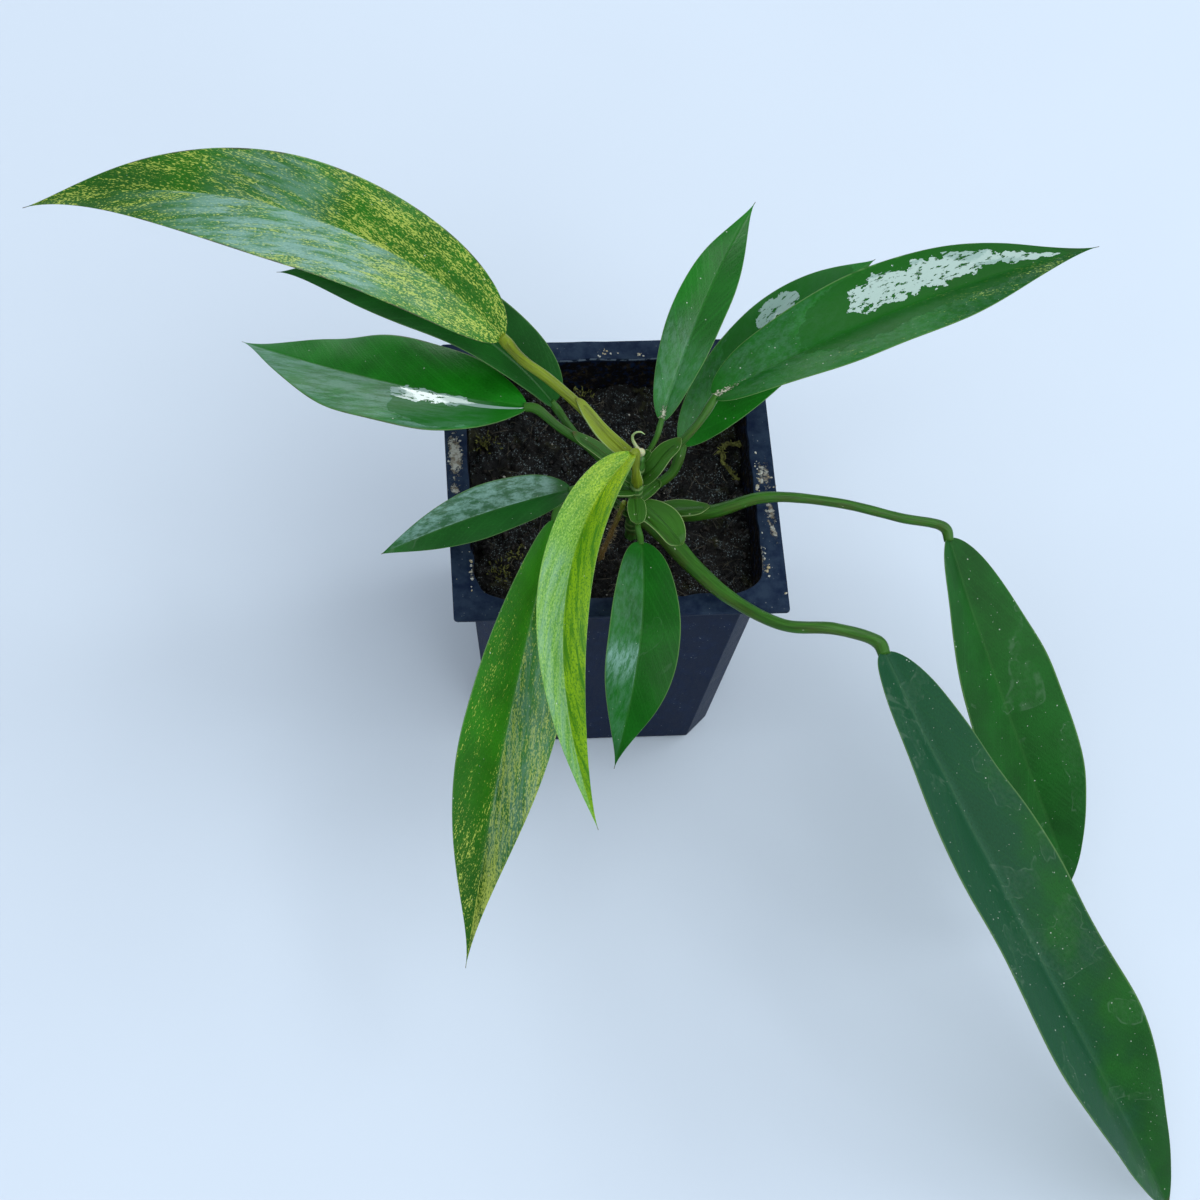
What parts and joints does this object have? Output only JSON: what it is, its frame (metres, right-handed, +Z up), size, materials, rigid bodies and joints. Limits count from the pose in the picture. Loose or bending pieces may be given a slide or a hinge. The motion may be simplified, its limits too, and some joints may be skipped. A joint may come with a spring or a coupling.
{
  "type": "potted philodendron",
  "caption": "Young variegated philodendron with long strap-shaped leaves on arching stalks, in a small square dark plastic nursery pot filled with peat.",
  "frame": {"origin": "centre of the pot's base, on the surface that it stands on", "axes": "+Z up, -Y towards the front, from where the picture was taken, and +X to the right along the pot's front rim"},
  "size_m": [0.1825, 0.1468, 0.1162],
  "materials": {
    "pot_plastic": "satin",
    "peat": "matt, fibrous",
    "leaf_green": "satin, waxy",
    "leaf_deep_green": "satin, waxy",
    "leaf_flecked": "satin, waxy, flecked yellow on green",
    "leaf_yellow_green": "satin, waxy, mottled",
    "stalk_green": "satin, waxy",
    "stalk_olive": "satin, waxy",
    "bud_cream": "satin",
    "root_brown": "matt, finely haired"
  },
  "bodies": {
    "root": {"pot": "pot_plastic", "soil": "peat", "stem": "stalk_green", "new_shoot": "bud_cream", "aerial_root": "root_brown", "petiole_top_left": "stalk_olive", "blade_top_left": "leaf_flecked", "petiole_left": "stalk_green", "blade_left": "leaf_green", "petiole_back_left": "stalk_green", "blade_back_left": "leaf_deep_green", "petiole_low_left": "stalk_green", "blade_low_left": "leaf_deep_green", "petiole_front_left": "stalk_green", "blade_front_left": "leaf_flecked", "petiole_newest": "stalk_olive", "blade_newest": "leaf_yellow_green", "petiole_front": "stalk_green", "blade_front": "leaf_green", "petiole_back": "stalk_green", "blade_back": "leaf_green", "petiole_top_right": "stalk_green", "blade_top_right": "leaf_green", "petiole_back_right": "stalk_green", "blade_back_right": "leaf_green", "petiole_right": "stalk_green", "blade_right": "leaf_deep_green", "petiole_front_right": "stalk_green", "blade_front_right": "leaf_deep_green"}
  },
  "joints": []
}
